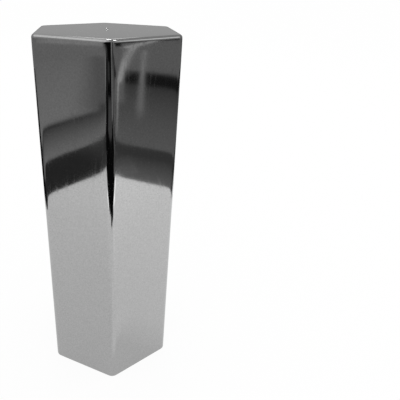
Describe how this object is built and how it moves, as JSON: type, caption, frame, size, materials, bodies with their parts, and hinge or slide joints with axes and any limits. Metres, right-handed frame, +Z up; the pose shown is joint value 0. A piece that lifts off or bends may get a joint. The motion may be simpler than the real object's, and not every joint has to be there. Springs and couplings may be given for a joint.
{
  "type": "wheel nut cover",
  "caption": "Tall hexagonal push-on cover for a wheel nut, bright chrome plated, with a flat closed end and a hollow hexagonal socket that opens at the mouth.",
  "frame": {"origin": "centre of the mouth, at the bottom, in the plane of the rim that the cover stands on", "axes": "+Z up along the cover towards its closed end; -Y to the front, through an upright edge; +X through the middle of a flat side"},
  "size_m": [0.038, 0.0432, 0.1083],
  "materials": {
    "plating": "mirror bright chrome plating on a moulded plastic wall"
  },
  "bodies": {
    "root": {"cap": "plating"}
  },
  "joints": []
}
